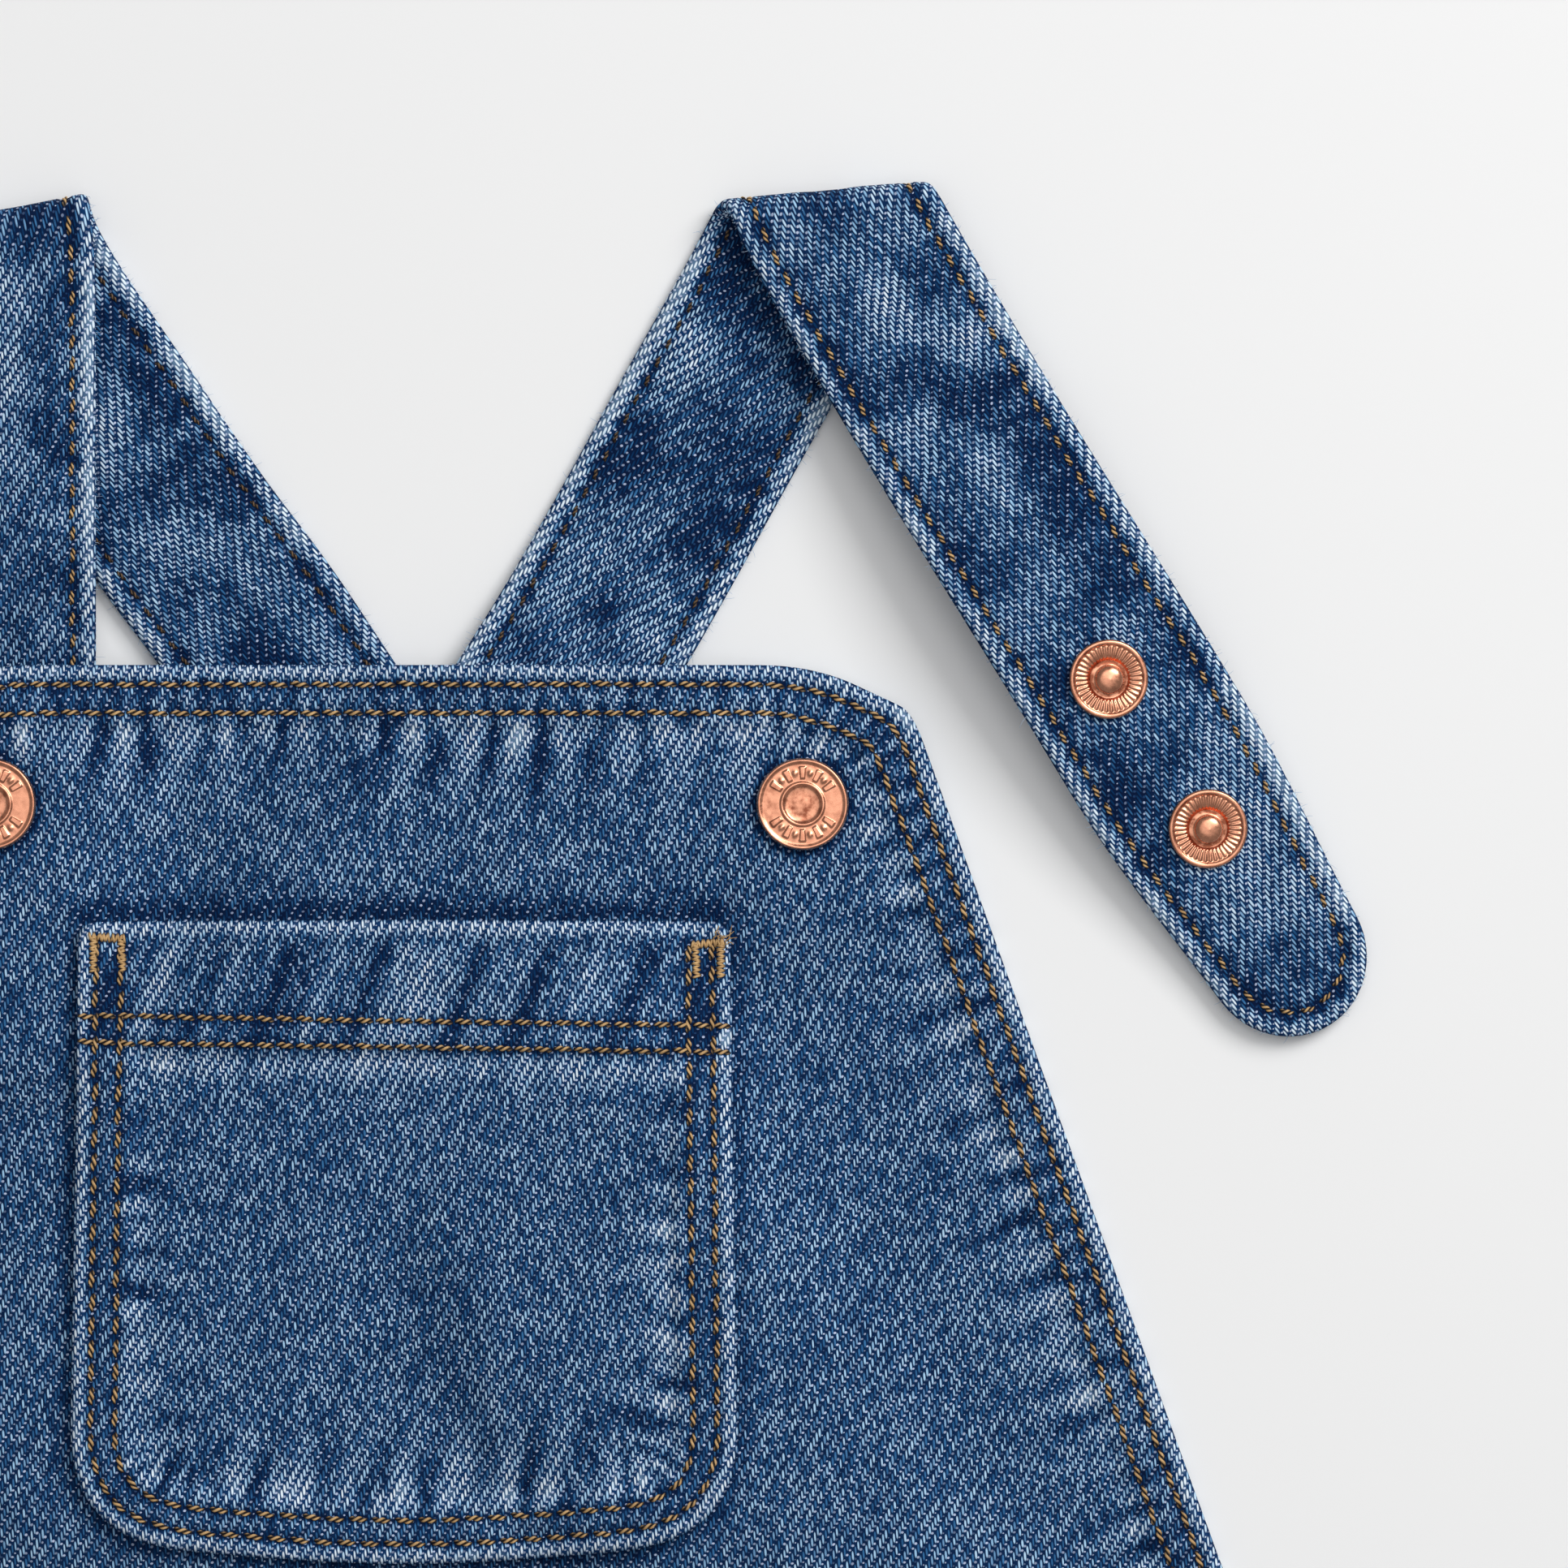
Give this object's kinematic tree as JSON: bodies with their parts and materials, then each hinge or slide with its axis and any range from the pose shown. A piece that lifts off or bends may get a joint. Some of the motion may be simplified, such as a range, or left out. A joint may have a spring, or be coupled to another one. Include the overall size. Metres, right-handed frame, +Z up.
{
  "type": "denim pinafore dress",
  "caption": "Small child's denim pinafore dress laid flat, with a bib pocket, crossed straps and copper snaps, one strap fastened and one loose.",
  "frame": {"origin": "middle of the underside, on the surface that the dress lies on", "axes": "+X to the right of the dress as seen from above, +Y from the hem to the straps, +Z up out of the surface"},
  "size_m": [0.33, 0.3876, 0.0101],
  "materials": {
    "denim": "washed indigo twill, matt",
    "copper": "polished copper plate"
  },
  "bodies": {
    "root": {"front_panel": "denim", "back_panel": "denim", "bib_pocket": "denim", "strap_left": "denim", "strap_right": "denim", "bib_cap_left": "copper", "bib_cap_right": "copper", "bib_socket_left": "copper", "bib_socket_right": "copper", "stud_left_upper": "copper", "stud_left_lower": "copper", "stud_right_upper": "copper", "stud_right_lower": "copper", "post_left_upper": "copper", "post_left_lower": "copper", "post_right_upper": "copper", "post_right_lower": "copper"}
  },
  "joints": []
}
